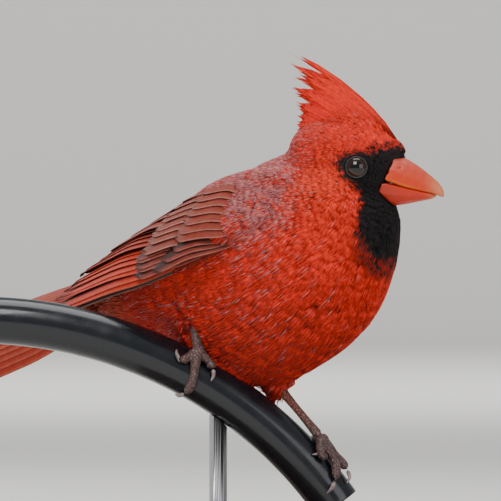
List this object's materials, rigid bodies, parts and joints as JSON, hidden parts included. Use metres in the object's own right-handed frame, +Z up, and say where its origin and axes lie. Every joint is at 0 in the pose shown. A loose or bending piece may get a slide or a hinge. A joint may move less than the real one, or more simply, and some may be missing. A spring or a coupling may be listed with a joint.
{
  "type": "northern cardinal",
  "caption": "Male northern cardinal at life size, crest raised, gripping a short length of curved steel pole on a plain display stand.",
  "frame": {"origin": "centre of the base's underside", "axes": "+X the way the bird looks, along the base's length; +Y away from the bird's right side; +Z up"},
  "size_m": [0.1997, 0.1324, 0.1679],
  "materials": {
    "red_feathers": "soft matt body feathers",
    "wing_feathers": "matt flight feathers and coverts",
    "tail_feathers": "matt tail feathers",
    "crest_feathers": "matt, slightly glossy crest feathers",
    "bill": "smooth horn, satin",
    "eye": "wet, glossy",
    "leg_skin": "scaled skin, satin",
    "claw": "horn, satin",
    "perch_steel": "smooth black powder coat, glossy",
    "stand_steel": "satin",
    "stand_wood": "dark stained and waxed"
  },
  "bodies": {
    "root": {"perch": "perch_steel", "stand_rod": "stand_steel", "stand_base": "stand_wood", "torso": "red_feathers", "neck": "red_feathers", "head": "red_feathers", "eye_right": "eye", "eye_left": "eye", "thigh_left": "red_feathers", "bill_upper": "bill", "bill_lower": "bill", "crest": "crest_feathers", "wing_right": "wing_feathers", "wing_left": "wing_feathers", "tail": "tail_feathers", "shank_right": "leg_skin", "shank_left": "leg_skin", "foot_right": "leg_skin", "foot_left": "leg_skin", "claw_right_middle": "claw", "claw_right_inner": "claw", "claw_right_outer": "claw", "claw_right_hind": "claw", "claw_left_middle": "claw", "claw_left_inner": "claw", "claw_left_outer": "claw", "claw_left_hind": "claw"}
  },
  "joints": []
}
